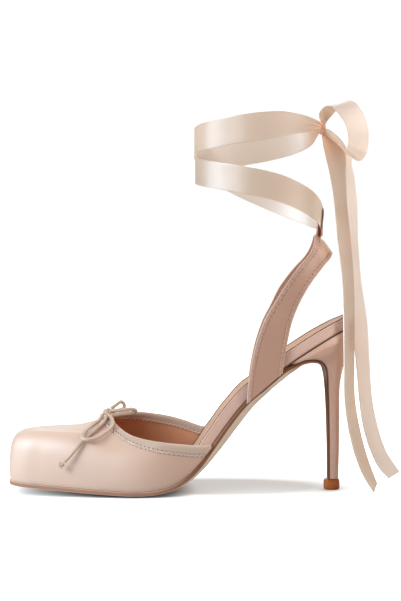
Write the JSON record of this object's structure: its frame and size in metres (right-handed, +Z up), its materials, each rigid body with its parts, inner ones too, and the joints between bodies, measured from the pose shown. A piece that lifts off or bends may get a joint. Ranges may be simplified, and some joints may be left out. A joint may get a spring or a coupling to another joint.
{
  "type": "lace-up stiletto pump",
  "caption": "Blush satin square-toe slingback pump with a stiletto heel, a cord bow at the throat and a ribbon tied round the ankle.",
  "frame": {"origin": "on the floor, under the middle of the shoe without its tied bow and tails", "axes": "+X from the toe to the heel, +Y from the outer side of the foot to its inner side, +Z up"},
  "size_m": [0.2495, 0.0786, 0.252],
  "materials": {
    "blush_satin": "duchess satin, soft sheen",
    "rose_satin": "satin wrapped over a board or block",
    "ribbon_satin": "double-faced satin ribbon",
    "cord_satin": "rouleau cord of satin",
    "sole_leather": "smooth waxed sole leather",
    "sock_leather": "soft lining leather",
    "tip_plastic": "moulded heel tip"
  },
  "bodies": {
    "root": {"outsole": "sole_leather", "insole": "sock_leather", "vamp": "blush_satin", "sling_strap": "rose_satin", "ribbon_loop": "ribbon_satin", "heel": "rose_satin", "heel_tip": "tip_plastic", "ankle_ribbon": "ribbon_satin", "ribbon_knot": "ribbon_satin", "bow_loop": "ribbon_satin", "ribbon_tail_left": "ribbon_satin", "ribbon_tail_right": "ribbon_satin", "throat_knot": "cord_satin", "throat_loop_top": "cord_satin", "throat_loop_side": "cord_satin", "throat_loop_front": "cord_satin", "throat_tail": "cord_satin", "tail_end_knot": "cord_satin"}
  },
  "joints": []
}
